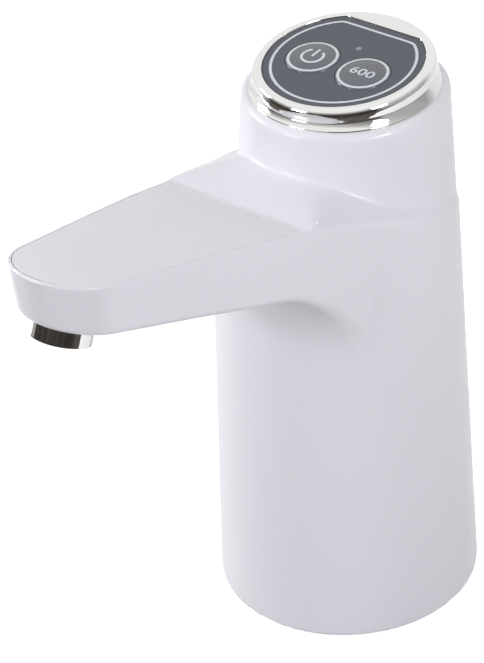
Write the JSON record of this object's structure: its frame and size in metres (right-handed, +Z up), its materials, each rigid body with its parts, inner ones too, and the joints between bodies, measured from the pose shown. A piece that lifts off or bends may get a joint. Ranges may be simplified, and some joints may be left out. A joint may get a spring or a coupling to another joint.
{
  "type": "electric water jug pump",
  "caption": "Battery pump that sits on the neck of a water bottle: tapered column, rising spout arm with a plated nozzle and a sloping key panel in a plated ring.",
  "frame": {"origin": "centre of the column's base, on the surface it stands on", "axes": "+Z up along the neck socket, -Y towards the spout, +X to the right of a person who looks from the spout's side"},
  "size_m": [0.078, 0.1601, 0.1699],
  "materials": {
    "body_white": "glossy white",
    "cover_white": "glossy white",
    "chrome": "bright plating",
    "panel_dark": "glossy dark grey",
    "key_dark": "glossy dark grey with pale print",
    "lens_clear": "clear",
    "inner_white": "moulded natural white",
    "inner_black": "moulded black",
    "soft_grey": "soft grey",
    "soft_clear": "translucent silicone",
    "screw_steel": "zinc plated",
    "spring_steel": "bright",
    "motor_steel": "drawn, satin",
    "magnet_grey": "sintered",
    "copper": "wound and laminated",
    "board_green": "lacquered",
    "board_black": "moulded black",
    "cell_blue": "shrunk film",
    "nickel": "nickel strip",
    "wire_red": "insulated"
  },
  "bodies": {
    "housing": {"arm_cover": "cover_white", "base_rim": "soft_grey", "base_screws": "screw_steel", "battery_cell": "motor_steel", "battery_leads": "wire_red", "battery_tabs": "nickel", "battery_wrap": "cell_blue", "board_parts": "board_black", "board_screws": "screw_steel", "charge_board": "board_green", "charge_screws": "screw_steel", "charge_socket": "nickel", "chassis": "inner_white", "chassis_screws": "screw_steel", "chrome_ring": "chrome", "control_board": "board_green", "control_panel": "panel_dark", "crank_case": "inner_black", "diaphragm": "soft_grey", "hose_clips": "spring_steel", "inlet_barb": "inner_white", "inlet_hose": "soft_clear", "inlet_nut": "inner_white", "key_switches": "nickel", "main_body": "body_white", "motor_case": "motor_steel", "motor_end_cap": "inner_black", "motor_leads": "wire_red", "motor_magnets": "magnet_grey", "motor_terminals": "copper", "neck_gasket": "soft_grey", "neck_sleeve": "inner_white", "nozzle_insert": "inner_white", "outlet_hose": "soft_clear", "panel_carrier": "inner_black", "pump_head": "inner_black", "pump_screws": "screw_steel", "spout_elbow": "inner_white", "spout_nozzle": "chrome", "status_led": "lens_clear", "status_lens": "lens_clear", "valve_flaps": "soft_clear", "valve_plate": "inner_white"},
    "power_key": {"power_button": "key_dark", "power_plunger": "board_black"},
    "amount_key": {"amount_button": "key_dark", "amount_plunger": "board_black"},
    "rotor": {"motor_shaft": "spring_steel", "motor_rotor": "copper", "eccentric_hub": "inner_white", "crank_pin": "spring_steel"},
    "wobble": {"wobble_plate": "inner_white"}
  },
  "joints": [
    {"name": "power_press", "type": "slide", "parent": "housing", "child": "power_key", "axis": [0, 0.0892, -0.996], "range_m": [0, 0.0005], "stiffness_N_per_m": 600, "springref_m": -0.0004},
    {"name": "amount_press", "type": "slide", "parent": "housing", "child": "amount_key", "axis": [0, 0.0892, -0.996], "range_m": [0, 0.0005], "stiffness_N_per_m": 600, "springref_m": -0.0004},
    {"name": "motor_spin", "type": "hinge", "parent": "housing", "child": "rotor", "pos_m": [0, -0.008, 0.09], "axis": [0, 0, 1], "continuous": true},
    {"name": "wobble_turn", "type": "hinge", "parent": "rotor", "child": "wobble", "pos_m": [0, -0.008, 0.0752], "axis": [0.1564, 0, 0.9877], "continuous": true}
  ],
  "couplings": [
    {"joint": "wobble_turn", "follows": "motor_spin", "ratio": -1}
  ]
}
